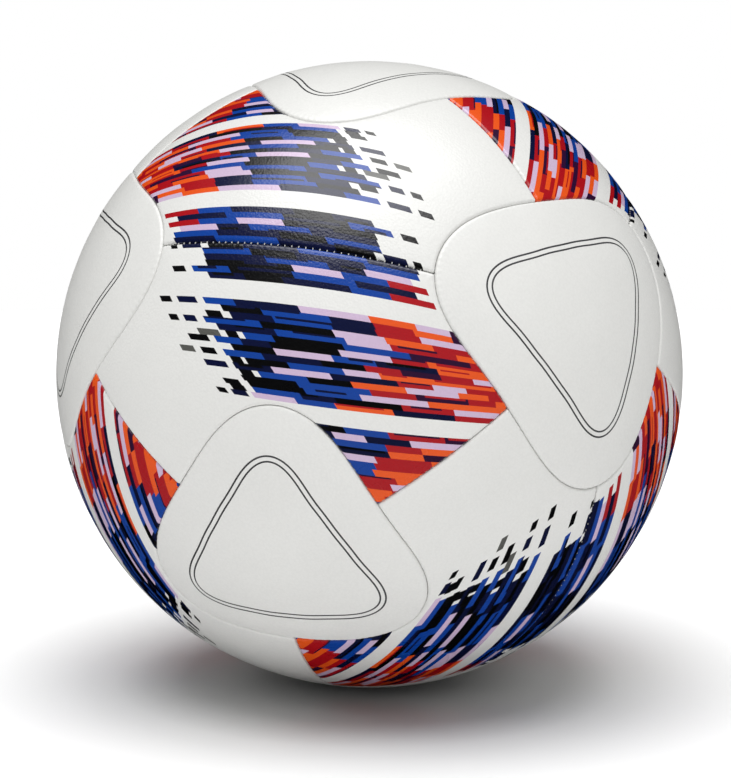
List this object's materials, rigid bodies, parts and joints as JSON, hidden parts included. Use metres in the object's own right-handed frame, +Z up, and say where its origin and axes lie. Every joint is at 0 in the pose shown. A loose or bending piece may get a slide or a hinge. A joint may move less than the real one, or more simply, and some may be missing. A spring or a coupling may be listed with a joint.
{
  "type": "soccer ball",
  "caption": "Machine-stitched soccer ball with rounded-triangle and wing cover panels, cushioned backings, butyl air bladder and needle valve.",
  "frame": {"origin": "centre of the ball", "axes": "+Z up in the attitude in which the ball is shown; -Z points at the spot where it touches the ground; -Y faces the camera"},
  "size_m": [0.2198, 0.2197, 0.2194],
  "materials": {
    "white_cover_skin": "textured thermoplastic polyurethane, satin, fine pebble grain",
    "printed_cover_skin": "textured thermoplastic polyurethane with a satin multicolour streak print",
    "foam_and_fabric_backing": "closed-cell foam laminated with woven polyester plies",
    "seam_thread": "waxed polyester thread",
    "bladder_butyl": "smooth butyl rubber",
    "valve_rubber": "moulded rubber",
    "valve_core_rubber": "moulded silicone rubber"
  },
  "bodies": {
    "root": {"triangle_skin_a1": "white_cover_skin", "triangle_backing_a1": "foam_and_fabric_backing", "seam_thread_a1": "seam_thread", "triangle_skin_a2": "white_cover_skin", "triangle_backing_a2": "foam_and_fabric_backing", "seam_thread_a2": "seam_thread", "triangle_skin_a3": "white_cover_skin", "triangle_backing_a3": "foam_and_fabric_backing", "seam_thread_a3": "seam_thread", "triangle_skin_a4": "white_cover_skin", "triangle_backing_a4": "foam_and_fabric_backing", "seam_thread_a4": "seam_thread", "triangle_skin_b1": "white_cover_skin", "triangle_backing_b1": "foam_and_fabric_backing", "seam_thread_b1": "seam_thread", "triangle_skin_b2": "white_cover_skin", "triangle_backing_b2": "foam_and_fabric_backing", "seam_thread_b2": "seam_thread", "triangle_skin_b3": "white_cover_skin", "triangle_backing_b3": "foam_and_fabric_backing", "seam_thread_b3": "seam_thread", "triangle_skin_b4": "white_cover_skin", "triangle_backing_b4": "foam_and_fabric_backing", "seam_thread_b4": "seam_thread", "wing_skin_01": "printed_cover_skin", "wing_backing_01": "foam_and_fabric_backing", "wing_skin_02": "printed_cover_skin", "wing_backing_02": "foam_and_fabric_backing", "wing_skin_03": "printed_cover_skin", "wing_backing_03": "foam_and_fabric_backing", "wing_skin_04": "printed_cover_skin", "wing_backing_04": "foam_and_fabric_backing", "wing_skin_05": "printed_cover_skin", "wing_backing_05": "foam_and_fabric_backing", "wing_skin_06": "printed_cover_skin", "wing_backing_06": "foam_and_fabric_backing", "wing_skin_07": "printed_cover_skin", "wing_backing_07": "foam_and_fabric_backing", "wing_skin_08": "printed_cover_skin", "wing_backing_08": "foam_and_fabric_backing", "wing_skin_09": "printed_cover_skin", "wing_backing_09": "foam_and_fabric_backing", "wing_skin_10": "printed_cover_skin", "wing_backing_10": "foam_and_fabric_backing", "wing_skin_11": "printed_cover_skin", "wing_backing_11": "foam_and_fabric_backing", "wing_skin_12": "printed_cover_skin", "wing_backing_12": "foam_and_fabric_backing", "seam_thread_long_1": "seam_thread", "seam_thread_long_2": "seam_thread", "seam_thread_long_3": "seam_thread", "seam_thread_long_4": "seam_thread", "seam_thread_long_5": "seam_thread", "seam_thread_long_6": "seam_thread", "bladder": "bladder_butyl", "valve_body": "valve_rubber", "valve_core": "valve_core_rubber", "valve_patch": "bladder_butyl"}
  },
  "joints": []
}
